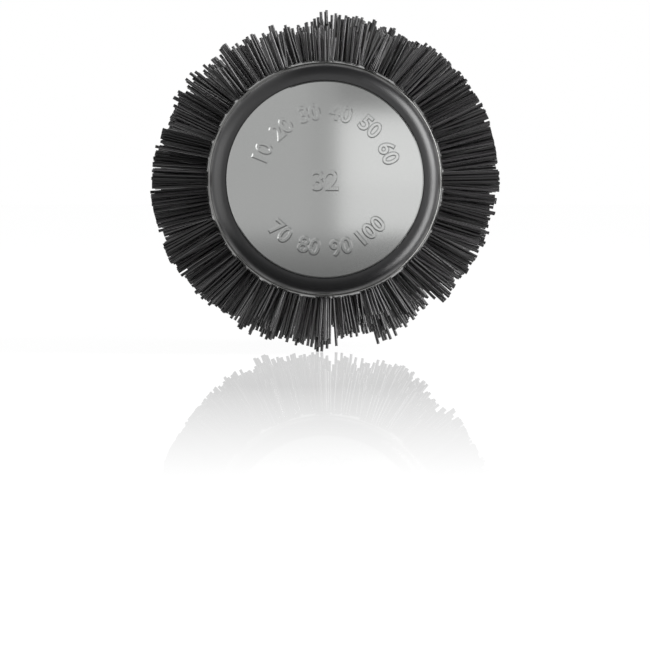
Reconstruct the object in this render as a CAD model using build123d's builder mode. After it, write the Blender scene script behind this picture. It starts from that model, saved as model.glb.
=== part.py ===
from build123d import *
import math
import os
import random

# Round barrel brush, in millimetres. The brush's axis is Y: the end disc's front face is at Y = 0
# and faces -Y, and the handle runs back along +Y. Z is up.

# Barrel: a 1 1/4 inch coated aluminium tube
barrel_radius = 15.875
barrel_wall = 0.8
barrel_length = 96.0
barrel_lip = 0.55
barrel_shoulder = 3.5

# Bristles: staggered rings of tufts, held on moulded strips inside the barrel
tip_radius = 22.75
tip_unevenness = 0.45
tufts_per_ring = 16
ring_stagger = 3
ring_pitch = 5.45
ring_inset = 2.0
tuft_hole_radius = 1.2
strand_width = 0.6
strand_thickness = 0.42
strand_spacing = 0.8
strand_splay = 7.0
least_splay = 2.0
strand_turn = 137.5
strip_thickness = 1.6

# Core tube behind the strips
core_wall = 1.85

# End disc and cap
disc_radius = 13.05
disc_thickness = 1.4
disc_edge = 0.15
disc_proud = 0.2
disc_gap = 0.12
cap_radius = 15.2
cap_rounding = 1.8
cap_rim = 0.4
cap_web = 2.4
hub_length = 6.0
hub_radius = 6.0
locating_wall = 1.6

# Cap screw and washer
screw_radius = 1.5
screw_head_radius = 2.75
screw_head_height = 1.8
screw_head_rounding = 0.6
screw_chamfer = 0.3
screw_length = 10.0
hex_socket_radius = 1.45
hex_socket_depth = 1.1
washer_radius = 3.4
washer_thickness = 0.5
screw_head_room = 0.3

# Spine rod
rod_radius = 3.0
rod_end_wall = 8.0
rod_chamfer = 0.4

# Rear plug: the cone between the barrel and the handle
plug_length = 6.0
plug_flange_radius = 15.6
plug_flange_edge = 1.0
cone_length = 13.6
plug_floor = 3.0
spigot_radius = 6.0
spigot_length = 15.0

# Collar ring
collar_radius = 11.0
collar_length = 7.0
collar_wall = 2.6
collar_chamfer = 0.4

# Handle moulding and its rubber sleeve
shoulder_radius = 10.2
shoulder_edge = 0.8
neck_radius = 7.4
neck_length = 20.0
grip_core_radius = 6.9
grip_length = 70.0
grip_front_radius = 8.6
grip_middle_radius = 10.3
grip_rear_radius = 9.0
grip_edge = 0.6
groove_radius = 0.55
groove_pitch = 3.4
groove_count = 6
groove_inset = 9.0
tail_length = 24.0
tail_front_radius = 8.4
tail_rear_radius = 7.0

# Tail: trim ring, bush and rubber ring
tail_ring_radius = 7.3
tail_ring_length = 6.0
tail_ring_chamfer = 0.4
tail_spigot_radius = 5.4
bush_radius = 4.2
bush_length = 10.0
bush_flange_radius = 6.2
bush_flange_length = 1.6
bush_flange_edge = 0.5
o_ring_thickness = 2.0

# Retractable pick
pick_radius = 2.0
pick_tip_radius = 0.9
pick_reach = 8.0
pick_taper = 6.5
pick_tang_radius = 1.4
slider_length = 9.0
slider_bore_radius = 3.3
pick_travel = 45.0
stop_gap = 0.3
bore_end_gap = 0.5

# Clearances
seat_gap = 0.05
thread_gap = 0.05
slide_gap = 0.05
strip_gap = 0.1

# Places along the axis
cap_front = disc_proud
barrel_front = cap_front + cap_rounding + cap_rim
barrel_rear = barrel_front + barrel_length
washer_front = disc_thickness + screw_head_room + screw_head_height
washer_rear = washer_front + washer_thickness
core_front = washer_rear + cap_web
core_rear = barrel_rear - plug_length
cone_rear = barrel_rear + cone_length
collar_rear = cone_rear + collar_length
grip_front = collar_rear + neck_length
grip_rear = grip_front + grip_length
tail_rear = grip_rear + tail_length
tail_ring_rear = tail_rear + tail_ring_length
brush_rear = tail_ring_rear + bush_flange_length
bush_front = tail_ring_rear - bush_length
o_ring_front = bush_front - o_ring_thickness - seat_gap
slider_rear = o_ring_front - pick_travel - stop_gap
slider_front = slider_rear - slider_length
pick_bore_front = slider_front - bore_end_gap
rod_rear = pick_bore_front - rod_end_wall

# Rings of tufts: as many as fit between the insets, centred on the strips
ring_count = int((core_rear - core_front - 2 * ring_inset) / ring_pitch) + 1
first_ring = (core_front + core_rear - (ring_count - 1) * ring_pitch) / 2

# Radii that follow from the fits
barrel_bore = barrel_radius - barrel_wall
strip_radius = barrel_bore - seat_gap
core_radius = strip_radius - strip_thickness - seat_gap
core_bore = core_radius - core_wall
locating_radius = core_bore - seat_gap
collar_bore = collar_radius - collar_wall
strip_angle = 360 / tufts_per_ring
root_radius = strip_radius - strip_thickness / 2


def across(y):
    """A plane across the brush's axis that faces the handle."""
    return Plane(origin=(0, y, 0), x_dir=(1, 0, 0), z_dir=(0, 1, 0))


def tuft_plane(column, ring, radius):
    """A plane square to one tuft, at a radius from the brush's axis."""
    angle = math.radians(strip_angle * (column + ring % ring_stagger / ring_stagger))
    outward = Vector(math.cos(angle), 0, math.sin(angle))
    foot = outward * radius + Vector(0, first_ring + ring * ring_pitch, 0)
    return Plane(origin=foot, x_dir=(0, 1, 0), z_dir=outward)


def outer_edge(piece, end):
    """The outer edge of a turned piece's front (0) or rear (-1) face."""
    return piece.edges().group_by(Axis.Y)[end].sort_by(SortBy.RADIUS)[-1]


def outer_edges(piece):
    """The outer edges of both end faces of a turned piece."""
    return [outer_edge(piece, 0), outer_edge(piece, -1)]


def finish(piece, name):
    """Name a finished piece and write its file."""
    piece.part.label = name
    export_step(piece.part, f"parts/{name}.step")


os.makedirs("parts", exist_ok=True)

# ---- End disc: a plain turned disc in the cap's recess
with BuildPart() as end_disc:
    with BuildSketch(across(0)):
        Circle(disc_radius)
    extrude(amount=disc_thickness)
    chamfer(outer_edge(end_disc, 0), disc_edge)
finish(end_disc, "end_disc")

# ---- End cap: a rounded ring round the disc, a web on the barrel's mouth and a hub for the spine
recess_radius = disc_radius + disc_gap
screw_hole_radius = screw_radius + seat_gap
with BuildPart() as end_cap:
    with BuildSketch(Plane.XY):
        with BuildLine():
            Line((0, cap_front), (recess_radius, cap_front))
            EllipticalCenterArc(
                (recess_radius, cap_front + cap_rounding),
                cap_radius - recess_radius,
                cap_rounding,
                start_angle=270,
                arc_size=90,
            )
            Polyline(
                (cap_radius, cap_front + cap_rounding),
                (cap_radius, barrel_front),
                (barrel_bore - seat_gap, barrel_front),
                (barrel_bore - seat_gap, core_front),
                (locating_radius, core_front),
                (locating_radius, core_front + hub_length),
                (locating_radius - locating_wall, core_front + hub_length),
                (locating_radius - locating_wall, core_front),
                (hub_radius, core_front),
                (hub_radius, core_front + hub_length),
                (0, core_front + hub_length),
                (0, cap_front),
            )
        make_face()
    revolve(axis=Axis.Y)
    with BuildSketch(across(0)):
        Circle(recess_radius)
    extrude(amount=disc_thickness, mode=Mode.SUBTRACT)
    with BuildSketch(across(disc_thickness)):
        Circle(washer_radius + seat_gap)
    extrude(amount=washer_rear - disc_thickness, mode=Mode.SUBTRACT)
    with BuildSketch(across(washer_rear)):
        Circle(screw_hole_radius)
    extrude(amount=cap_web, mode=Mode.SUBTRACT)
    with BuildSketch(across(core_front)):
        Circle(rod_radius + seat_gap)
    extrude(amount=hub_length, mode=Mode.SUBTRACT)
finish(end_cap, "end_cap")

# ---- Cap screw: a pan head with a hexagon socket; its thread is a plain shank
with BuildPart() as cap_screw:
    with BuildSketch(across(washer_front - screw_head_height)):
        Circle(screw_head_radius)
    extrude(amount=screw_head_height)
    fillet(outer_edge(cap_screw, 0), screw_head_rounding)
    with BuildSketch(across(washer_front)):
        Circle(screw_radius)
    extrude(amount=core_front - washer_front + screw_length)
    chamfer(outer_edge(cap_screw, -1), screw_chamfer)
    with BuildSketch(across(washer_front - screw_head_height)):
        RegularPolygon(hex_socket_radius, 6)
    extrude(amount=hex_socket_depth, mode=Mode.SUBTRACT)
finish(cap_screw, "cap_screw")

with BuildPart() as cap_washer:
    with BuildSketch(across(washer_front)):
        Circle(washer_radius)
        Circle(screw_hole_radius, mode=Mode.SUBTRACT)
    extrude(amount=washer_thickness)
finish(cap_washer, "cap_washer")

# ---- Barrel: a tube with a drawn-in shoulder at the front and a hole for every tuft
with BuildPart() as barrel:
    with BuildSketch(Plane.XY):
        with BuildLine():
            Line((barrel_bore, barrel_front), (barrel_radius - barrel_lip, barrel_front))
            EllipticalCenterArc(
                (barrel_radius - barrel_lip, barrel_front + barrel_shoulder),
                barrel_lip,
                barrel_shoulder,
                start_angle=270,
                arc_size=90,
            )
            Polyline(
                (barrel_radius, barrel_front + barrel_shoulder),
                (barrel_radius, barrel_rear),
                (barrel_bore, barrel_rear),
                (barrel_bore, barrel_front),
            )
        make_face()
    revolve(axis=Axis.Y)
    fillet(outer_edge(barrel, -1), barrel_lip)
    for ring in range(ring_count):
        with BuildSketch(*[tuft_plane(column, ring, root_radius) for column in range(tufts_per_ring)]):
            Circle(tuft_hole_radius)
        extrude(amount=tip_radius - root_radius, mode=Mode.SUBTRACT)
finish(barrel, "barrel")


# ---- Bristle strips: each has a slice of the backing and a slanting row of tufts
def strand(plane, length):
    """One straight four-sided strand that stands on a plane."""
    with BuildPart() as blade:
        with BuildSketch(plane):
            Rectangle(strand_thickness, strand_width)
        extrude(amount=length)
    return blade.part


def tuft(column, ring, sides, chance):
    """The strands of one tuft, leaning apart, each cut to its own length."""
    base = tuft_plane(column, ring, root_radius).location
    turn = Rotation(0, 0, strand_turn * (column + ring))
    strands = []
    for side in sides:
        splay = chance.uniform(least_splay, strand_splay)
        lean = Location((side * strand_spacing / 2, 0, 0), (0, side * splay, 0))
        tip = tip_radius + chance.uniform(-tip_unevenness, tip_unevenness)
        strands.append(strand(Plane(base * turn * lean), tip - root_radius))
    return strands


def bristle_strip(column, chance):
    """A backing strip with its tufts, as one moulding. The rearmost tuft is a single strand."""
    strands = []
    for ring in range(ring_count - 1):
        strands += tuft(column, ring, (-1, 1), chance)
    strands += tuft(column, ring_count - 1, (0,), chance)
    gap_angle = math.degrees(strip_gap / strip_radius)
    first_angle = strip_angle * (column - 1 / ring_stagger / 2) + gap_angle / 2
    with BuildPart() as strip:
        with BuildSketch(Plane.XY.rotated((0, -first_angle, 0))):
            with Locations((root_radius, (core_front + core_rear) / 2)):
                Rectangle(strip_thickness, core_rear - core_front)
        revolve(axis=Axis.Y, revolution_arc=-(strip_angle - gap_angle))
        add(strands)
    return strip


chance = random.Random(12)
for column in range(tufts_per_ring):
    finish(bristle_strip(column, chance), f"bristle_strip_{column + 1:02d}")

# ---- Core tube: backs the strips and holds them out against the barrel
with BuildPart() as core_tube:
    with BuildSketch(across(core_front)):
        Circle(core_radius)
        Circle(core_bore, mode=Mode.SUBTRACT)
    extrude(amount=core_rear - core_front)
finish(core_tube, "core_tube")

# ---- Rear plug: closes the barrel, carries the collar ring and takes the handle's spigot
with BuildPart() as rear_plug:
    with BuildSketch(Plane.XY):
        with BuildLine():
            Polyline(
                (0, core_rear - hub_length),
                (hub_radius, core_rear - hub_length),
                (hub_radius, barrel_rear - plug_floor),
                (locating_radius - locating_wall, barrel_rear - plug_floor),
                (locating_radius - locating_wall, core_rear - hub_length),
                (locating_radius, core_rear - hub_length),
                (locating_radius, core_rear),
                (barrel_bore - seat_gap, core_rear),
                (barrel_bore - seat_gap, barrel_rear),
                (plug_flange_radius, barrel_rear),
                (plug_flange_radius, barrel_rear + plug_flange_edge),
            )
            TangentArc(
                (collar_radius, cone_rear),
                (plug_flange_radius, barrel_rear + plug_flange_edge),
                tangent=(0, -1),
            )
            Polyline(
                (collar_radius, cone_rear),
                (collar_bore - seat_gap, cone_rear),
                (collar_bore - seat_gap, collar_rear),
                (0, collar_rear),
                (0, core_rear - hub_length),
            )
        make_face()
    revolve(axis=Axis.Y)
    with BuildSketch(across(core_rear - hub_length)):
        Circle(rod_radius + seat_gap)
    extrude(amount=collar_rear - core_rear + hub_length, mode=Mode.SUBTRACT)
    with BuildSketch(across(collar_rear - spigot_length)):
        Circle(spigot_radius + seat_gap)
    extrude(amount=spigot_length, mode=Mode.SUBTRACT)
finish(rear_plug, "rear_plug")

with BuildPart() as collar_ring:
    with BuildSketch(across(cone_rear)):
        Circle(collar_radius)
        Circle(collar_bore, mode=Mode.SUBTRACT)
    extrude(amount=collar_length)
    chamfer(outer_edges(collar_ring), collar_chamfer)
finish(collar_ring, "collar_ring")

# ---- Spine rod: joins the cap to the handle through the whole barrel
with BuildPart() as spine_rod:
    with BuildSketch(across(core_front)):
        Circle(rod_radius)
    extrude(amount=rod_rear - core_front)
    chamfer(outer_edges(spine_rod), rod_chamfer)
    with BuildSketch(across(core_front)):
        Circle(screw_radius + thread_gap)
    extrude(amount=screw_length + thread_gap, mode=Mode.SUBTRACT)
finish(spine_rod, "spine_rod")

# ---- Handle moulding: spigot, shoulder, necked stretch, core under the grip, and tail
with BuildPart() as handle_core:
    with BuildSketch(Plane.XY):
        with BuildLine():
            Polyline(
                (0, collar_rear - spigot_length),
                (spigot_radius, collar_rear - spigot_length),
                (spigot_radius, collar_rear),
                (shoulder_radius, collar_rear),
                (shoulder_radius, collar_rear + shoulder_edge),
            )
            Spline(
                (shoulder_radius, collar_rear + shoulder_edge),
                (neck_radius, collar_rear + neck_length / 2),
                (grip_front_radius - grip_edge, grip_front),
                tangents=((-1, 1), (0.2, 1)),
            )
            Polyline(
                (grip_front_radius - grip_edge, grip_front),
                (grip_core_radius, grip_front),
                (grip_core_radius, grip_rear),
                (tail_front_radius, grip_rear),
                (tail_rear_radius, tail_rear),
                (tail_spigot_radius, tail_rear),
                (tail_spigot_radius, tail_ring_rear),
                (0, tail_ring_rear),
                (0, collar_rear - spigot_length),
            )
        make_face()
    revolve(axis=Axis.Y)
    with BuildSketch(across(collar_rear - spigot_length)):
        Circle(rod_radius + seat_gap)
    extrude(amount=rod_rear - collar_rear + spigot_length, mode=Mode.SUBTRACT)
    with BuildSketch(across(pick_bore_front)):
        Circle(slider_bore_radius)
    extrude(amount=tail_ring_rear - pick_bore_front, mode=Mode.SUBTRACT)
    with BuildSketch(across(o_ring_front)):
        Circle(bush_radius)
    extrude(amount=tail_ring_rear - o_ring_front, mode=Mode.SUBTRACT)
finish(handle_core, "handle_core")

# ---- Grip sleeve: barrel-shaped rubber with finger grooves near the neck
with BuildPart() as grip_sleeve:
    with BuildSketch(Plane.XY):
        with BuildLine():
            swell = ThreePointArc(
                (grip_front_radius, grip_front),
                (grip_middle_radius, (grip_front + grip_rear) / 2),
                (grip_rear_radius, grip_rear),
            )
            Polyline(
                (grip_rear_radius, grip_rear),
                (grip_core_radius + seat_gap, grip_rear),
                (grip_core_radius + seat_gap, grip_front),
                (grip_front_radius, grip_front),
            )
        make_face()
    revolve(axis=Axis.Y)
    groove_centres = [
        swell.position_at(groove_inset + groove * groove_pitch, PositionMode.LENGTH)
        for groove in range(groove_count)
    ]
    fillet(outer_edges(grip_sleeve), grip_edge)
    with BuildSketch(Plane.XY):
        with Locations(*groove_centres):
            Circle(groove_radius)
    revolve(axis=Axis.Y, mode=Mode.SUBTRACT)
finish(grip_sleeve, "grip_sleeve")

# ---- Tail ring, bush and rubber ring
with BuildPart() as tail_ring:
    with BuildSketch(across(tail_rear)):
        Circle(tail_ring_radius)
        Circle(tail_spigot_radius + seat_gap, mode=Mode.SUBTRACT)
    extrude(amount=tail_ring_length)
    chamfer(outer_edges(tail_ring), tail_ring_chamfer)
finish(tail_ring, "tail_ring")

with BuildPart() as tail_bush:
    with BuildSketch(across(bush_front)):
        Circle(bush_radius - seat_gap)
    extrude(amount=bush_length)
    with BuildSketch(across(tail_ring_rear)):
        Circle(bush_flange_radius)
    extrude(amount=bush_flange_length)
    fillet(outer_edge(tail_bush, -1), bush_flange_edge)
    with BuildSketch(across(bush_front)):
        Circle(pick_radius + slide_gap)
    extrude(amount=bush_length + bush_flange_length, mode=Mode.SUBTRACT)
finish(tail_bush, "tail_bush")

with BuildPart() as pick_o_ring:
    with BuildSketch(Plane.XY):
        with Locations((pick_radius + slide_gap + o_ring_thickness / 2, bush_front - o_ring_thickness / 2)):
            Circle(o_ring_thickness / 2)
    revolve(axis=Axis.Y)
finish(pick_o_ring, "pick_o_ring")

# ---- Pick: a slim pin on a slider that runs in the handle
pick_tip = brush_rear + pick_reach
with BuildPart() as pick_pin:
    with BuildSketch(Plane.XY):
        with BuildLine():
            Polyline(
                (0, slider_front),
                (pick_tang_radius, slider_front),
                (pick_tang_radius, slider_rear),
                (pick_radius, slider_rear),
                (pick_radius, pick_tip - pick_taper),
                (pick_tip_radius, pick_tip - pick_tip_radius),
            )
            ThreePointArc(
                (pick_tip_radius, pick_tip - pick_tip_radius),
                (
                    pick_tip_radius * math.sin(math.pi / 4),
                    pick_tip - pick_tip_radius + pick_tip_radius * math.cos(math.pi / 4),
                ),
                (0, pick_tip),
            )
            Line((0, pick_tip), (0, slider_front))
        make_face()
    revolve(axis=Axis.Y)
finish(pick_pin, "pick_pin")

with BuildPart() as pick_slider:
    with BuildSketch(across(slider_front)):
        Circle(slider_bore_radius - slide_gap)
        Circle(pick_tang_radius + seat_gap, mode=Mode.SUBTRACT)
    extrude(amount=slider_length)
finish(pick_slider, "pick_slider")
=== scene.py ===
import math
import random

import bmesh
import bpy
from bpy.props import (
    FloatProperty,
    FloatVectorProperty,
    IntProperty,
    PointerProperty,
    StringProperty,
)
from mathutils import Matrix, Vector


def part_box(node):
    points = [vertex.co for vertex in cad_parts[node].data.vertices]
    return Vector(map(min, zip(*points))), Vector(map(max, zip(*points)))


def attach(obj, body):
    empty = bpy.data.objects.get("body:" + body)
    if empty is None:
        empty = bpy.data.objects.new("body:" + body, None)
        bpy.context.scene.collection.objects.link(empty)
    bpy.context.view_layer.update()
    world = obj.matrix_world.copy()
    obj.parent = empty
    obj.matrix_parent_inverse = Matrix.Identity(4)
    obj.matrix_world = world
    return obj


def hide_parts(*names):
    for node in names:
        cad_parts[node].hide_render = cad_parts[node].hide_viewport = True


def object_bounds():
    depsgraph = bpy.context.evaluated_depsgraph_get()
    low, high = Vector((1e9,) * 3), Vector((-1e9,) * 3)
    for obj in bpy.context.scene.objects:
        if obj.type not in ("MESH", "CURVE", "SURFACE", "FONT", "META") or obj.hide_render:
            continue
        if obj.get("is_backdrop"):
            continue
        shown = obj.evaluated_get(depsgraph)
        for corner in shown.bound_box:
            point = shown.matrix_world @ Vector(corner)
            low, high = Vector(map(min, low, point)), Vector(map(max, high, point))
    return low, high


bl_info = {
    "name": "Round barrel brush",
    "version": (1, 0, 0),
    "blender": (4, 5, 0),
    "location": "3D View > Sidebar > Brush",
    "description": "Dresses a round barrel brush with bristles, disc numbers, finishes and studio",
    "category": "Object",
}

# The brush's axis is Y: the end disc faces -Y and the handle runs back along +Y.
# Sizes are in metres.
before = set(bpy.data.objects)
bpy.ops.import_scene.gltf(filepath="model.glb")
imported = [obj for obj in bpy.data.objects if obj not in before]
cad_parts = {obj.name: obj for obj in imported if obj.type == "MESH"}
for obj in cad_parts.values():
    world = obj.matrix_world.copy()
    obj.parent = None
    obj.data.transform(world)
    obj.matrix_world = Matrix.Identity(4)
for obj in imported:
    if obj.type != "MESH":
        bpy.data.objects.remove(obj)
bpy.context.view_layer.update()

MM = 0.001
ALONG = Vector((0, 1, 0))
STRIPS = sorted(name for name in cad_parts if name.startswith("bristle_strip_"))
STRIP_LOW, STRIP_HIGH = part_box(STRIPS[0])

# The turn from one filament of a tuft to the next, which spaces them evenly over a disc.
GOLDEN_ANGLE = math.pi * (3 - math.sqrt(5))

# The height of the font's digits, as a share of its size.
DIGIT_HEIGHT = 0.73

# How white the floor looks, and how strongly the brush's own polished parts mirror it, as shares.
FLOOR_GLOW = 0.9
OWN_MIRROR = 0.8

# Bounds on the floor, where Y runs back from the end disc and X runs across the brush.
GLOSS_FULL_Y = -0.145
OWN_MIRROR_END_Y = 0.006
# The SHADE and LIT bounds place a painted shade on the floor that only the brush's polished parts
# see.
SHADE_START_Y, SHADE_FULL_Y = -0.145, -0.115
SHADE_LIGHT_Y, SHADE_DARK_Y = -0.13, 0.0
SHADE_END_X, SHADE_FULL_X = 0.055, 0.04
LIT_X, UNLIT_X, LIT_SLANT = 0.018, 0.013, 0.2


def linear(code):
    """The linear RGBA of an sRGB hex colour."""
    channels = [int(code[i : i + 2], 16) / 255 for i in (0, 2, 4)]
    return [c / 12.92 if c <= 0.04045 else ((c + 0.055) / 1.055) ** 2.4 for c in channels] + [1.0]


WHITE = linear("ffffff")


# ---------------------------------------------------------------- sizes and colours


class BristleSettings(bpy.types.PropertyGroup):
    """The backing strips, the tufts and their filaments."""

    filament_thickness: FloatProperty(
        name="Filament thickness",
        description="Diameter of one nylon filament",
        default=0.4 * MM,
        unit="LENGTH",
    )
    filaments: IntProperty(
        name="Filaments", description="Filaments in one tuft", default=15, min=1
    )
    ring_pitch: FloatProperty(
        name="Ring pitch",
        description="Distance between rings of tufts along the barrel",
        default=5.45 * MM,
        unit="LENGTH",
    )
    ring_inset: FloatProperty(
        name="Ring inset",
        description="Least distance from a strip's end to its first tuft",
        default=2.0 * MM,
        unit="LENGTH",
    )
    ring_stagger: IntProperty(
        name="Ring stagger",
        description="Rings after which the tufts stand behind each other again",
        default=3,
        min=1,
    )
    backing_radius: FloatProperty(
        name="Backing radius",
        description="Outer radius of the backing strips inside the barrel",
        default=15.0 * MM,
        unit="LENGTH",
    )
    backing_thickness: FloatProperty(
        name="Backing thickness",
        description="Thickness of the backing strips",
        default=1.6 * MM,
        unit="LENGTH",
    )
    backing_gap: FloatProperty(
        name="Backing gap",
        description="Gap between one backing strip and the next",
        default=0.1 * MM,
        unit="LENGTH",
    )
    root_spread: FloatProperty(
        name="Root spread",
        description="Radius of a tuft where it leaves its backing",
        default=1.0 * MM,
        unit="LENGTH",
    )
    tip_spread: FloatProperty(
        name="Tip spread",
        description="Radius that a tuft has fanned out to at its tips",
        default=1.4 * MM,
        unit="LENGTH",
    )
    lean: FloatProperty(
        name="Lean",
        description="How far the tips of a whole row of tufts stand off to a side",
        default=0.4 * MM,
        unit="LENGTH",
    )
    stray: FloatProperty(
        name="Stray",
        description="How far a tuft strays from its row, and a tip from its place in the tuft",
        default=0.3 * MM,
        unit="LENGTH",
    )
    tip_radius: FloatProperty(
        name="Tip radius",
        description="Longest reach of the tips from the brush's axis",
        default=23.5 * MM,
        unit="LENGTH",
    )
    shortfall: FloatProperty(
        name="Shortfall",
        description="How much shorter the shortest filaments are cut",
        default=0.3 * MM,
        unit="LENGTH",
    )
    wear: FloatProperty(
        name="Wear",
        description="How much shorter the shortest filaments are on the brush's two worn sides",
        default=5.2 * MM,
        unit="LENGTH",
    )
    tuft_wear: FloatProperty(
        name="Tuft wear",
        description="Share of the wear that all filaments of a tuft have in common",
        default=0.6,
    )
    worn_side: FloatProperty(
        name="Worn side",
        description="Angle round the axis at which the brush is most worn",
        default=math.radians(105),
        subtype="ANGLE",
    )
    darkest: FloatProperty(
        name="Darkest tone",
        description="Tone of the darkest filaments, as a share of the nylon's colour",
        default=0.3,
    )
    lightest: FloatProperty(
        name="Lightest tone",
        description="Tone of the lightest filaments, as a share of the nylon's colour",
        default=3.3,
    )
    seed: IntProperty(name="Seed", description="Seed of the uneven filaments", default=19)


class NumeralSettings(bpy.types.PropertyGroup):
    """The raised numbers on the end disc."""

    centre_text: StringProperty(
        name="Centre number", description="Number in the middle of the disc", default="32"
    )
    upper_text: StringProperty(
        name="Upper numbers",
        description="Numbers over the middle one, with a space between each",
        default="10 20 30 40 50 60",
    )
    lower_text: StringProperty(
        name="Lower numbers",
        description="Numbers under the middle one, with a space between each",
        default="70 80 90 100",
    )
    centre_height: FloatProperty(
        name="Centre height",
        description="Height of the middle number",
        default=3.0 * MM,
        unit="LENGTH",
    )
    arc_height: FloatProperty(
        name="Arc height",
        description="Height of the numbers round it",
        default=2.5 * MM,
        unit="LENGTH",
    )
    arc_radius: FloatProperty(
        name="Arc radius",
        description="Radius of the circle through the numbers' middles",
        default=9.0 * MM,
        unit="LENGTH",
    )
    arc_step: FloatProperty(
        name="Arc step",
        description="Angle from one number to the next",
        default=math.radians(27),
        subtype="ANGLE",
    )
    relief: FloatProperty(
        name="Relief",
        description="How far the numbers stand out",
        default=0.047 * MM,
        unit="LENGTH",
    )
    slope: FloatProperty(
        name="Slope",
        description="Width of the numbers' sloping sides",
        default=0.17 * MM,
        unit="LENGTH",
    )


class FinishSettings(bpy.types.PropertyGroup):
    """The colours of the brush's materials."""

    lacquer: FloatVectorProperty(
        name="Disc",
        description="Silver lacquer",
        subtype="COLOR",
        size=4,
        default=linear("9e9f9e"),
    )
    charcoal: FloatVectorProperty(
        name="Cap",
        description="Charcoal moulding",
        subtype="COLOR",
        size=4,
        default=linear("121213"),
    )
    ceramic: FloatVectorProperty(
        name="Barrel",
        description="Ceramic coat",
        subtype="COLOR",
        size=4,
        default=linear("5d5d5c"),
    )
    nylon: FloatVectorProperty(
        name="Bristles",
        description="Nylon filaments",
        subtype="COLOR",
        size=4,
        default=linear("171617"),
    )
    handle: FloatVectorProperty(
        name="Handle",
        description="Handle moulding",
        subtype="COLOR",
        size=4,
        default=linear("242325"),
    )
    rubber: FloatVectorProperty(
        name="Grip",
        description="Soft-touch rubber",
        subtype="COLOR",
        size=4,
        default=linear("1d1c1e"),
    )
    metal: FloatVectorProperty(
        name="Rings",
        description="Anodised rings",
        subtype="COLOR",
        size=4,
        default=linear("c4c4c6"),
    )
    steel: FloatVectorProperty(
        name="Pick",
        description="Plated steel",
        subtype="COLOR",
        size=4,
        default=linear("cfcdc9"),
    )
    acetal: FloatVectorProperty(
        name="Slider",
        description="Natural acetal",
        subtype="COLOR",
        size=4,
        default=linear("dddcd6"),
    )


class StudioSettings(bpy.types.PropertyGroup):
    """The camera, the floor and the surround."""

    camera_distance: FloatProperty(
        name="Camera distance",
        description="From the lens to the end disc",
        default=1.0,
        unit="LENGTH",
    )
    focal_length: FloatProperty(
        name="Focal length", description="Of the lens, in mm", default=418.6
    )
    aim_drop: FloatProperty(
        name="Aim",
        description="How far below the brush's axis the camera aims",
        default=math.radians(1.104),
        subtype="ANGLE",
    )
    surround: FloatProperty(
        name="Surround", description="How strongly the white surround lights", default=0.6
    )
    mirror: FloatProperty(
        name="Floor gloss", description="Share of the floor's look that is mirrored", default=0.4
    )
    mirror_reach: FloatProperty(
        name="Gloss reach",
        description="How far in front of the brush the floor's gloss fades out",
        default=0.455,
        unit="LENGTH",
    )


# ---------------------------------------------------------------- helpers


def add_node(tree, kind, values=None, links=None, **settings):
    """Add a node with its settings, its sockets' values and the outputs that feed them."""
    node = tree.nodes.new(kind)
    for name, value in settings.items():
        setattr(node, name, value)
    for socket, value in (values or {}).items():
        node.inputs[socket].default_value = value
    for socket, source in (links or {}).items():
        tree.links.new(source, node.inputs[socket])
    return node


def new_material(name):
    """An empty node material, its tree, and the object's own coordinates."""
    material = bpy.data.materials.new(name)
    material.use_nodes = True
    tree = material.node_tree
    tree.nodes.clear()
    return material, tree, add_node(tree, "ShaderNodeTexCoord").outputs["Object"]


def finish_nodes(material, *nodes):
    """Give CAD nodes a material."""
    for node in nodes:
        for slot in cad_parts[node].material_slots:
            slot.material = material


def add_object(name, shape, material):
    """Turn a bmesh into an object of the scene."""
    mesh = bpy.data.meshes.new(name)
    shape.to_mesh(mesh)
    shape.free()
    mesh.materials.append(material)
    made = bpy.data.objects.new(name, mesh)
    bpy.context.scene.collection.objects.link(made)
    return made


def add_piece(name, shape, material):
    """A finished mesh piece that rides on the brush."""
    piece = add_object(name, shape, material)
    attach(piece, "brush")
    return piece


# ---------------------------------------------------------------- materials


def mottled(tree, colour, pattern, spread):
    """A colour that a noise pattern makes lighter and darker by a share of itself."""
    lightness = add_node(
        tree,
        "ShaderNodeMapRange",
        {"From Min": 0.3, "From Max": 0.7, "To Min": 1 - spread, "To Max": 1 + spread},
        {"Value": pattern.outputs["Fac"]},
    )
    shade = add_node(
        tree,
        "ShaderNodeHueSaturation",
        {"Color": colour},
        {"Value": lightness.outputs["Result"]},
    )
    return shade.outputs["Color"]


def drawn_nylon(colour, darkest, lightest):
    """Drawn nylon: dark, smooth and a little glossy, each filament with its own tone and gloss."""
    material, tree, place = new_material("drawn_nylon")
    tone = add_node(tree, "ShaderNodeAttribute", attribute_name="tone")
    shade = add_node(
        tree, "ShaderNodeHueSaturation", {"Color": colour}, {"Value": tone.outputs["Fac"]}
    )
    # Draw lines are far finer than a filament, so only the slow waviness of its skin shows.
    waves = add_node(tree, "ShaderNodeTexNoise", {"Scale": 1 / (2 * MM)}, {"Vector": place})
    skin = add_node(
        tree, "ShaderNodeBump", {"Distance": 0.006 * MM}, {"Height": waves.outputs["Fac"]}
    )
    roughness = add_node(
        tree,
        "ShaderNodeMapRange",
        {"From Min": darkest, "From Max": lightest, "To Min": 0.4, "To Max": 0.15},
        {"Value": tone.outputs["Fac"]},
    )
    shader = add_node(
        tree,
        "ShaderNodeBsdfPrincipled",
        {"IOR": 1.53},
        {
            "Base Color": shade.outputs["Color"],
            "Roughness": roughness.outputs["Result"],
            "Normal": skin.outputs["Normal"],
        },
    )
    add_node(tree, "ShaderNodeOutputMaterial", links={"Surface": shader.outputs["BSDF"]})
    return material


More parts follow.
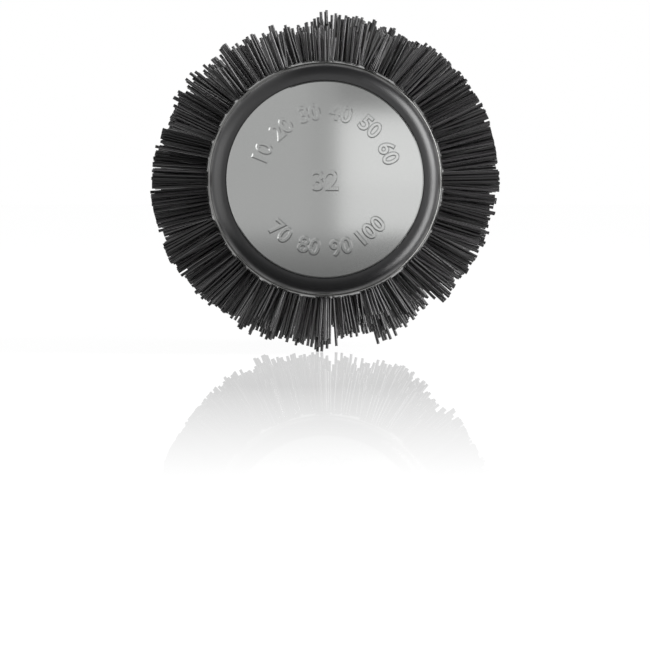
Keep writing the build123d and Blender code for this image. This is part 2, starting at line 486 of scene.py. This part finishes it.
def moulded_plastic(name, colour, roughness, pebble, depth):
    """Moulded nylon, ABS or rubber: the mould's etched wall leaves pebbles and a satin look."""
    material, tree, place = new_material(name)
    patches = add_node(
        tree, "ShaderNodeTexNoise", {"Scale": 1 / (5 * MM), "Detail": 3.0}, {"Vector": place}
    )
    pebbles = add_node(
        tree, "ShaderNodeTexNoise", {"Scale": 1 / pebble, "Detail": 2.0}, {"Vector": place}
    )
    skin = add_node(
        tree, "ShaderNodeBump", {"Distance": depth}, {"Height": pebbles.outputs["Fac"]}
    )
    shader = add_node(
        tree,
        "ShaderNodeBsdfPrincipled",
        {"Roughness": roughness, "IOR": 1.5},
        {"Base Color": mottled(tree, colour, patches, 0.1), "Normal": skin.outputs["Normal"]},
    )
    add_node(tree, "ShaderNodeOutputMaterial", links={"Surface": shader.outputs["BSDF"]})
    return material


def silver_lacquer(colour):
    """Silver-lacquered ABS: aluminium flakes under a clear gloss, on a slightly crowned disc."""
    material, tree, place = new_material("silver_lacquer")
    # The crown falls away by 4 times the square of the distance from the disc's centre, which
    # is 0.7 mm at its edge.
    across = add_node(
        tree, "ShaderNodeVectorMath", {1: (1.0, 0.0, 1.0)}, {0: place}, operation="MULTIPLY"
    )
    square = add_node(
        tree,
        "ShaderNodeVectorMath",
        links={0: across.outputs["Vector"], 1: across.outputs["Vector"]},
        operation="DOT_PRODUCT",
    )
    crown = add_node(
        tree, "ShaderNodeBump", {"Distance": -4.0}, {"Height": square.outputs["Value"]}
    )
    # Flakes of 0.2 mm are coarser than the real ones, so that they show.
    flakes = add_node(tree, "ShaderNodeTexNoise", {"Scale": 1 / (0.2 * MM)}, {"Vector": place})
    skin = add_node(
        tree,
        "ShaderNodeBump",
        {"Distance": 0.0006 * MM},
        {"Height": flakes.outputs["Fac"], "Normal": crown.outputs["Normal"]},
    )
    shader = add_node(
        tree,
        "ShaderNodeBsdfPrincipled",
        {"Metallic": 0.95, "Roughness": 0.12},
        {"Base Color": mottled(tree, colour, flakes, 0.04), "Normal": skin.outputs["Normal"]},
    )
    add_node(tree, "ShaderNodeOutputMaterial", links={"Surface": shader.outputs["BSDF"]})
    return material


def ceramic_coat(colour):
    """Ceramic coat on aluminium: a thin grey glaze, glossy as metal, with a faint orange peel."""
    material, tree, place = new_material("ceramic_coat")
    patches = add_node(
        tree, "ShaderNodeTexNoise", {"Scale": 1 / (4 * MM), "Detail": 3.0}, {"Vector": place}
    )
    roughness = add_node(
        tree,
        "ShaderNodeMapRange",
        {"From Min": 0.3, "From Max": 0.7, "To Min": 0.15, "To Max": 0.21},
        {"Value": patches.outputs["Fac"]},
    )
    peel = add_node(tree, "ShaderNodeTexNoise", {"Scale": 1 / (0.7 * MM)}, {"Vector": place})
    skin = add_node(
        tree, "ShaderNodeBump", {"Distance": 0.003 * MM}, {"Height": peel.outputs["Fac"]}
    )
    shader = add_node(
        tree,
        "ShaderNodeBsdfPrincipled",
        {"Base Color": colour, "Metallic": 0.95},
        {"Roughness": roughness.outputs["Result"], "Normal": skin.outputs["Normal"]},
    )
    add_node(tree, "ShaderNodeOutputMaterial", links={"Surface": shader.outputs["BSDF"]})
    return material


def turned_metal(name, colour, roughness, groove, depth):
    """Turned metal: fine tool marks run round the axis, so highlights stretch along it."""
    material, tree, place = new_material(name)
    lengthwise = add_node(
        tree, "ShaderNodeVectorMath", {1: (0.0, 1.0, 0.0)}, {0: place}, operation="MULTIPLY"
    )
    marks = add_node(
        tree,
        "ShaderNodeTexNoise",
        {"Scale": 1 / groove, "Detail": 4.0, "Roughness": 0.7},
        {"Vector": lengthwise.outputs["Vector"]},
    )
    skin = add_node(tree, "ShaderNodeBump", {"Distance": depth}, {"Height": marks.outputs["Fac"]})
    shader = add_node(
        tree,
        "ShaderNodeBsdfPrincipled",
        {"Metallic": 1.0, "Roughness": roughness},
        {"Base Color": mottled(tree, colour, marks, 0.06), "Normal": skin.outputs["Normal"]},
    )
    add_node(tree, "ShaderNodeOutputMaterial", links={"Surface": shader.outputs["BSDF"]})
    return material


class BRUSH_OT_finishes(bpy.types.Operator):
    """Give every rigid piece of the brush the material that it is made of"""

    bl_idname = "brush.finishes"
    bl_label = "Finish rigid pieces"

    def execute(self, context):
        colours = context.scene.brush_finishes
        nylon = moulded_plastic(
            "moulded_nylon", colours.charcoal, roughness=0.36, pebble=0.35 * MM, depth=0.006 * MM
        )
        core = moulded_plastic(
            "core_nylon", colours.charcoal, roughness=0.55, pebble=0.3 * MM, depth=0.01 * MM
        )
        handle = moulded_plastic(
            "handle_abs", colours.handle, roughness=0.24, pebble=0.8 * MM, depth=0.003 * MM
        )
        rubber = moulded_plastic(
            "soft_touch_rubber", colours.rubber, roughness=0.68, pebble=0.3 * MM, depth=0.03 * MM
        )
        acetal = moulded_plastic(
            "natural_acetal", colours.acetal, roughness=0.35, pebble=0.3 * MM, depth=0.003 * MM
        )
        aluminium = turned_metal(
            "anodised_aluminium", colours.metal, roughness=0.22, groove=0.15 * MM, depth=0.002 * MM
        )
        steel = turned_metal(
            "plated_steel", colours.steel, roughness=0.14, groove=0.4 * MM, depth=0.001 * MM
        )
        finish_nodes(silver_lacquer(colours.lacquer), "end_disc")
        finish_nodes(ceramic_coat(colours.ceramic), "barrel")
        finish_nodes(nylon, "end_cap", "rear_plug", "tail_bush")
        finish_nodes(core, "core_tube")
        finish_nodes(handle, "handle_core")
        finish_nodes(rubber, "grip_sleeve", "pick_o_ring")
        finish_nodes(acetal, "pick_slider")
        finish_nodes(aluminium, "collar_ring", "tail_ring")
        finish_nodes(steel, "pick_pin", "spine_rod", "cap_screw", "cap_washer")
        return {"FINISHED"}


# ---------------------------------------------------------------- bristles


def outward(angle):
    """The direction away from the brush's axis at an angle round it."""
    return Vector((math.cos(angle), 0.0, math.sin(angle)))


def sideways(angle):
    """The direction round the brush's axis at an angle round it."""
    return ALONG.cross(outward(angle))


def add_backing(shape, settings, start, sweep):
    """Sweep the backing strip's section round the axis and close its two sides."""
    outer = settings.backing_radius
    inner = outer - settings.backing_thickness
    corners = []
    for radius, y in (
        (inner, STRIP_LOW.y),
        (outer, STRIP_LOW.y),
        (outer, STRIP_HIGH.y),
        (inner, STRIP_HIGH.y),
    ):
        corners.append(shape.verts.new(outward(start) * radius + ALONG * y))
    edges = [shape.edges.new((corners[i], corners[(i + 1) % 4])) for i in range(4)]
    bmesh.ops.spin(
        shape,
        geom=corners + edges,
        cent=(0, 0, 0),
        axis=(0, -1, 0),
        angle=sweep,
        steps=6,
        use_merge=False,
    )
    open_edges = [edge for edge in shape.edges if edge.is_boundary]
    bmesh.ops.holes_fill(shape, edges=open_edges, sides=4)
    bmesh.ops.recalc_face_normals(shape, faces=shape.faces)


def add_filament(shape, root, tip, thickness, tone):
    """One straight filament with square-cut ends, as a slim six-sided prism."""
    span = tip - root
    turned = span.to_track_quat("Z", "Y").to_matrix().to_4x4()
    made = bmesh.ops.create_cone(
        shape,
        cap_ends=True,
        segments=6,
        radius1=thickness / 2,
        radius2=thickness / 2,
        depth=span.length,
        matrix=Matrix.Translation((root + tip) / 2) @ turned,
    )
    layer = shape.verts.layers.float["tone"]
    for vertex in made["verts"]:
        vertex[layer] = tone
        for face in vertex.link_faces:
            face.smooth = len(face.verts) == 4
        for edge in vertex.link_edges:
            edge.smooth = all(len(face.verts) == 4 for face in edge.link_faces)


def add_tuft(shape, settings, angle, y, lean, chance):
    """A tuft that fans out from one hole of the barrel, each filament cut to its own length."""
    out = outward(angle)
    around = sideways(angle)
    foot = out * (settings.backing_radius - settings.backing_thickness / 2) + ALONG * y
    turn = chance.uniform(0, math.tau)
    worn = math.cos(angle - settings.worn_side) ** 2
    lean += around * chance.gauss(0, settings.stray) + ALONG * chance.gauss(0, settings.stray)
    tuft_cut = settings.tuft_wear * chance.random()
    for index in range(settings.filaments):
        share = math.sqrt((index + 0.5) / settings.filaments)
        swirl = turn + index * GOLDEN_ANGLE
        fan = (around * math.cos(swirl) + ALONG * math.sin(swirl)) * share
        cut = tuft_cut + (1 - settings.tuft_wear) * chance.random()
        reach = settings.tip_radius - cut * (settings.shortfall + worn * settings.wear)
        stray = around * chance.gauss(0, settings.stray) + ALONG * chance.gauss(0, settings.stray)
        root = foot + fan * settings.root_spread
        tip = out * reach + ALONG * y + fan * settings.tip_spread + lean + stray
        # Most filaments are dark and a few are light.
        tone = settings.darkest + (settings.lightest - settings.darkest) * chance.random() ** 2
        add_filament(shape, root, tip, settings.filament_thickness, tone)


def make_strip(index, settings, material, chance):
    """One backing strip with its slanting rows of tufts."""
    shape = bmesh.new()
    shape.verts.layers.float.new("tone")
    step = math.tau / len(STRIPS)
    gap = settings.backing_gap / settings.backing_radius
    start = step * (index - 0.5 / settings.ring_stagger) + gap / 2
    add_backing(shape, settings, start, step - gap)
    length = STRIP_HIGH.y - STRIP_LOW.y
    rings = int((length - 2 * settings.ring_inset) / settings.ring_pitch) + 1
    first = (STRIP_LOW.y + STRIP_HIGH.y - (rings - 1) * settings.ring_pitch) / 2
    for line in range(settings.ring_stagger):
        angle = step * (index + line / settings.ring_stagger)
        lean = sideways(angle) * chance.uniform(-settings.lean, settings.lean)
        for ring in range(line, rings, settings.ring_stagger):
            y = first + ring * settings.ring_pitch
            add_tuft(shape, settings, angle, y, lean.copy(), chance)
    return add_piece(f"bristles_{index + 1:02d}", shape, material)


class BRUSH_OT_bristles(bpy.types.Operator):
    """Make the bristle strips: a backing and its fanned tufts of nylon filaments for each"""

    bl_idname = "brush.bristles"
    bl_label = "Make bristles"

    def execute(self, context):
        settings = context.scene.brush_bristles
        colour = context.scene.brush_finishes.nylon
        material = drawn_nylon(colour, settings.darkest, settings.lightest)
        chance = random.Random(settings.seed)
        for index, node in enumerate(STRIPS):
            piece = make_strip(index, settings, material, chance)
            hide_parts(node)
        return {"FINISHED"}


# ---------------------------------------------------------------- disc numbers


def number_mesh(text, height, settings):
    """A raised number with sloping sides that stands on the XY plane."""
    curve = bpy.data.curves.new("number", "FONT")
    curve.body = text
    curve.align_x = "CENTER"
    curve.align_y = "CENTER"
    curve.size = (height - 2 * settings.slope) / DIGIT_HEIGHT
    curve.bevel_depth = settings.slope
    curve.bevel_resolution = 0
    carrier = bpy.data.objects.new("number", curve)
    bpy.context.scene.collection.objects.link(carrier)
    bpy.context.view_layer.update()
    finished = carrier.evaluated_get(bpy.context.evaluated_depsgraph_get())
    mesh = bpy.data.meshes.new_from_object(finished)
    bpy.data.objects.remove(carrier)
    bpy.data.curves.remove(curve)
    mesh.transform(Matrix.Diagonal((1, 1, settings.relief / settings.slope, 1)))
    mesh.shade_flat()
    return mesh


def add_number(shape, text, height, settings, place):
    """Set one number on the disc, standing out along -Y."""
    mesh = number_mesh(text, height, settings)
    # The font centres its lines of text, which leaves the digits off the middle.
    middle = sum((corner.co for corner in mesh.vertices), Vector()) / len(mesh.vertices)
    upright = Matrix.Rotation(math.pi / 2, 4, "X")
    mesh.transform(upright @ place @ Matrix.Translation((0, -middle.y, 0)))
    shape.from_mesh(mesh)
    bpy.data.meshes.remove(mesh)


def arc_places(count, settings, side):
    """Places of numbers on an arc over (1) or under (-1) the middle, from left to right."""
    places = []
    for index in range(count):
        angle = (index - (count - 1) / 2) * settings.arc_step
        turned = Matrix.Rotation(-side * angle, 4, "Z")
        places.append(turned @ Matrix.Translation((0, side * settings.arc_radius, 0)))
    return places


class BRUSH_OT_numbers(bpy.types.Operator):
    """Raise plain numbers on the end disc, one in the middle and the rest in two arcs"""

    bl_idname = "brush.numbers"
    bl_label = "Raise disc numbers"

    def execute(self, context):
        settings = context.scene.brush_numbers
        shape = bmesh.new()
        add_number(shape, settings.centre_text, settings.centre_height, settings, Matrix())
        for side, line in ((1, settings.upper_text), (-1, settings.lower_text)):
            numbers = line.split()
            for text, place in zip(numbers, arc_places(len(numbers), settings, side)):
                add_number(shape, text, settings.arc_height, settings, place)
        bmesh.ops.remove_doubles(shape, verts=shape.verts, dist=0.001 * MM)
        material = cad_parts["end_disc"].material_slots[0].material
        add_piece("disc_numbers", shape, material)
        return {"FINISHED"}


# ---------------------------------------------------------------- studio


def white_for_rays(tree):
    """A factor that is 1 for rays that see the background: camera, glossy and transmission."""
    rays = add_node(tree, "ShaderNodeLightPath")
    factor = rays.outputs["Is Camera Ray"]
    for kind in ("Is Glossy Ray", "Is Transmission Ray"):
        either = add_node(
            tree,
            "ShaderNodeMath",
            links={0: factor, 1: rays.outputs[kind]},
            operation="ADD",
            use_clamp=True,
        )
        factor = either.outputs["Value"]
    return factor


def light_world(strength):
    """A white surround that lights the brush at its own strength."""
    world = bpy.data.worlds.new("studio_world")
    world.use_nodes = True
    tree = world.node_tree
    tree.nodes.clear()
    room = add_node(tree, "ShaderNodeBackground", {"Color": WHITE, "Strength": strength})
    white = add_node(tree, "ShaderNodeBackground", {"Color": WHITE, "Strength": 1.0})
    mixed = add_node(
        tree,
        "ShaderNodeMixShader",
        links={
            0: white_for_rays(tree),
            1: room.outputs["Background"],
            2: white.outputs["Background"],
        },
    )
    add_node(tree, "ShaderNodeOutputWorld", links={"Surface": mixed.outputs["Shader"]})
    bpy.context.scene.world = world


def add_softbox(name, place, aim, width, height, radiance):
    """A rectangular softbox that faces a point, as bright as its radiance."""
    light = bpy.data.lights.new(name, "AREA")
    light.shape = "RECTANGLE"
    light.size = width
    light.size_y = height
    light.energy = radiance * math.pi * width * height
    box = bpy.data.objects.new(name, light)
    place, aim = Vector(place), Vector(aim)
    turned = (aim - place).to_track_quat("-Z", "Y").to_matrix().to_4x4()
    box.matrix_world = Matrix.Translation(place) @ turned
    bpy.context.scene.collection.objects.link(box)


def add_card(name, place, tilt, width, height, tone):
    """A grey card that only reflections see; untilted, it lies flat."""
    material, tree, _ = new_material(name)
    shade = add_node(tree, "ShaderNodeEmission", {"Color": WHITE, "Strength": tone})
    add_node(tree, "ShaderNodeOutputMaterial", links={"Surface": shade.outputs["Emission"]})
    shape = bmesh.new()
    bmesh.ops.create_grid(shape, x_segments=1, y_segments=1, size=0.5)
    bmesh.ops.scale(shape, vec=(width, height, 1), verts=shape.verts)
    stand = Matrix.Translation(place) @ Matrix.Rotation(tilt, 4, "X")
    bmesh.ops.transform(shape, matrix=stand, verts=shape.verts)
    card = add_object(name, shape, material)
    card.visible_camera = False
    card.visible_diffuse = False
    card.visible_transmission = False
    card.visible_shadow = False
    card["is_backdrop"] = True


def seen_by_brush(tree, place):
    """A factor that is 1 where the brush's own polished parts mirror the floor ahead of them."""
    rays = add_node(tree, "ShaderNodeLightPath")
    ahead = add_node(
        tree,
        "ShaderNodeMath",
        {1: OWN_MIRROR_END_Y},
        {0: place.outputs["Y"]},
        operation="LESS_THAN",
    )
    both = add_node(
        tree,
        "ShaderNodeMath",
        links={0: ahead.outputs["Value"], 1: rays.outputs["Is Glossy Ray"]},
        operation="MULTIPLY",
    )
    return both.outputs["Value"]


def floor_gloss(tree, place, by_brush, settings):
    """The share of the floor's look that is a mirror image."""
    fade = add_node(
        tree,
        "ShaderNodeMapRange",
        {
            "From Min": -settings.mirror_reach,
            "From Max": GLOSS_FULL_Y,
            "To Min": 0.0,
            "To Max": settings.mirror,
        },
        {"Value": place.outputs["Y"]},
    )
    # Like any polished sheet, it mirrors at a grazing look only.
    weight = add_node(tree, "ShaderNodeLayerWeight", {"Blend": 0.5})
    grazing = add_node(
        tree,
        "ShaderNodeMapRange",
        {"From Min": 0.86, "From Max": 0.95},
        {"Value": weight.outputs["Facing"]},
    )
    seen = add_node(
        tree,
        "ShaderNodeMath",
        links={0: fade.outputs["Result"], 1: grazing.outputs["Result"]},
        operation="MULTIPLY",
    )
    # The brush's own polished parts see the sheet as the mirror that it is up close.
    close = add_node(
        tree, "ShaderNodeMath", {1: OWN_MIRROR}, {0: by_brush}, operation="MULTIPLY"
    )
    gloss = add_node(
        tree,
        "ShaderNodeMath",
        links={0: seen.outputs["Value"], 1: close.outputs["Value"]},
        operation="MAXIMUM",
    )
    return gloss.outputs["Value"]


def painted_floor_shade(tree, place, by_brush):
    """Where the brush's polished parts see a painted shade on the floor, and that painted shade, a
    dark glow.
    """
    near = add_node(
        tree,
        "ShaderNodeMapRange",
        {"From Min": SHADE_START_Y, "From Max": SHADE_FULL_Y},
        {"Value": place.outputs["Y"]},
    )
    aside = add_node(
        tree, "ShaderNodeMath", links={0: place.outputs["X"]}, operation="ABSOLUTE"
    )
    under = add_node(
        tree,
        "ShaderNodeMapRange",
        {"From Min": SHADE_END_X, "From Max": SHADE_FULL_X},
        {"Value": aside.outputs["Value"]},
    )
    # The painted shade ends along a slanting edge towards the right, where the light from the
    # right falls.
    slant = add_node(
        tree,
        "ShaderNodeMath",
        {1: LIT_SLANT},
        {0: place.outputs["Y"], 2: place.outputs["X"]},
        operation="MULTIPLY_ADD",
    )
    unlit = add_node(
        tree,
        "ShaderNodeMapRange",
        {"From Min": LIT_X, "From Max": UNLIT_X},
        {"Value": slant.outputs["Value"]},
    )
    factor = by_brush
    for bound in (near, under, unlit):
        product = add_node(
            tree,
            "ShaderNodeMath",
            links={0: factor, 1: bound.outputs["Result"]},
            operation="MULTIPLY",
        )
        factor = product.outputs["Value"]
    # The painted shade darkens towards the brush, from 0.8 to 0.1 of white.
    deeper = add_node(
        tree,
        "ShaderNodeMapRange",
        {"From Min": SHADE_LIGHT_Y, "From Max": SHADE_DARK_Y, "To Min": 0.8, "To Max": 0.1},
        {"Value": place.outputs["Y"]},
    )
    shade = add_node(
        tree, "ShaderNodeEmission", {"Color": WHITE}, {"Strength": deeper.outputs["Result"]}
    )
    return factor, shade.outputs["Emission"]


def polished_floor(settings):
    """White acrylic: a polished sheet that mirrors faintly near the brush and keeps its shadow."""
    material, tree, coordinates = new_material("white_acrylic")
    place = add_node(tree, "ShaderNodeSeparateXYZ", links={"Vector": coordinates})
    sheet = add_node(tree, "ShaderNodeBsdfDiffuse", {"Color": linear("f7f7f7")})
    glow = add_node(tree, "ShaderNodeEmission", {"Color": WHITE, "Strength": 1.04})
    share = add_node(
        tree, "ShaderNodeMath", {1: FLOOR_GLOW}, {0: white_for_rays(tree)}, operation="MULTIPLY"
    )
    mirror = add_node(tree, "ShaderNodeBsdfGlossy", {"Color": WHITE, "Roughness": 0.0})
    by_brush = seen_by_brush(tree, place)
    surface = sheet.outputs["BSDF"]
    # The last layer is the painted shade that the brush's polished parts see on the floor.
    for factor, layer in (
        (share.outputs["Value"], glow.outputs["Emission"]),
        (floor_gloss(tree, place, by_brush, settings), mirror.outputs["BSDF"]),
        painted_floor_shade(tree, place, by_brush),
    ):
        mixed = add_node(tree, "ShaderNodeMixShader", links={0: factor, 1: surface, 2: layer})
        surface = mixed.outputs["Shader"]
    add_node(tree, "ShaderNodeOutputMaterial", links={"Surface": surface})
    return material


def lay_floor(settings, height):
    """A wide floor that the lowest bristle tips touch."""
    shape = bmesh.new()
    level = Matrix.Translation((0, 0, height))
    bmesh.ops.create_grid(shape, x_segments=1, y_segments=1, size=6.0, matrix=level)
    add_object("floor", shape, polished_floor(settings))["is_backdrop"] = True


def set_camera(settings):
    """A long lens on the brush's axis, aimed a little below it."""
    lens = bpy.data.cameras.new("camera")
    lens.lens = settings.focal_length
    lens.sensor_width = 36.0
    lens.clip_start = 0.01
    camera = bpy.data.objects.new("camera", lens)
    camera.location = (0, -settings.camera_distance, 0)
    camera.rotation_euler = (math.pi / 2 - settings.aim_drop, 0, 0)
    bpy.context.scene.collection.objects.link(camera)
    bpy.context.scene.camera = camera


class BRUSH_OT_studio(bpy.types.Operator):
    """Set up the white floor, the soft lights and the camera"""

    bl_idname = "brush.studio"
    bl_label = "Set up studio"

    def execute(self, context):
        settings = context.scene.brush_studio
        context.scene.view_settings.view_transform = "Standard"
        light_world(settings.surround)
        disc = (0, 0, 0)
        barrel = (0, 0.03, 0)
        upright = math.pi / 2
        # The front softbox and the cards behind the camera are what the crowned disc mirrors.
        add_softbox(
            "softbox_front", (0.39, -2.0, 0.03), disc, width=0.66, height=0.56, radiance=0.9
        )
        add_card("card_middle", (0, -1.9, 0.2), upright, width=0.12, height=1.2, tone=0.83)
        add_card("card_top", (0.72, -1.95, 0.65), upright, width=1.56, height=0.66, tone=0.55)
        # The card overhead keeps the bristles and the cap's ring dark above and, mirrored, below.
        add_card("card_overhead", (1.1, -0.1, 1.3), 0, width=3.2, height=2.8, tone=0.08)
        add_softbox(
            "softbox_right", (1.2, -0.48, 0.55), barrel, width=0.95, height=1.15, radiance=12.0
        )
        add_softbox(
            "softbox_left", (-1.15, -0.55, 0.27), barrel, width=1.4, height=0.56, radiance=2.2
        )
        lay_floor(settings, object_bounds()[0][2])
        set_camera(settings)
        return {"FINISHED"}


# ---------------------------------------------------------------- panel and run


class BRUSH_PT_panel(bpy.types.Panel):
    """Lists the brush's makers and their settings"""

    bl_idname = "BRUSH_PT_panel"
    bl_label = "Round barrel brush"
    bl_space_type = "VIEW_3D"
    bl_region_type = "UI"
    bl_category = "Brush"

    def draw(self, context):
        for operator, group in STEPS:
            self.layout.operator(operator)
            settings = getattr(context.scene, group)
            for name in settings.bl_rna.properties.keys():
                if name not in ("rna_type", "name"):
                    self.layout.prop(settings, name)


STEPS = (
    ("brush.finishes", "brush_finishes"),
    ("brush.bristles", "brush_bristles"),
    ("brush.numbers", "brush_numbers"),
    ("brush.studio", "brush_studio"),
)
GROUPS = {
    "brush_finishes": FinishSettings,
    "brush_bristles": BristleSettings,
    "brush_numbers": NumeralSettings,
    "brush_studio": StudioSettings,
}
OPERATORS = (BRUSH_OT_finishes, BRUSH_OT_bristles, BRUSH_OT_numbers, BRUSH_OT_studio)


def register():
    """Register the settings, the operators and the panel."""
    for name, group in GROUPS.items():
        bpy.utils.register_class(group)
        setattr(bpy.types.Scene, name, PointerProperty(type=group))
    for operator in OPERATORS:
        bpy.utils.register_class(operator)
    bpy.utils.register_class(BRUSH_PT_panel)


def unregister():
    """Remove what register added."""
    bpy.utils.unregister_class(BRUSH_PT_panel)
    for operator in reversed(OPERATORS):
        bpy.utils.unregister_class(operator)
    for name, group in reversed(GROUPS.items()):
        delattr(bpy.types.Scene, name)
        bpy.utils.unregister_class(group)


def main():
    """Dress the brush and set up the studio."""
    register()
    bpy.ops.brush.finishes()
    bpy.ops.brush.bristles()
    bpy.ops.brush.numbers()
    bpy.ops.brush.studio()


if __name__ == "__main__":
    main()
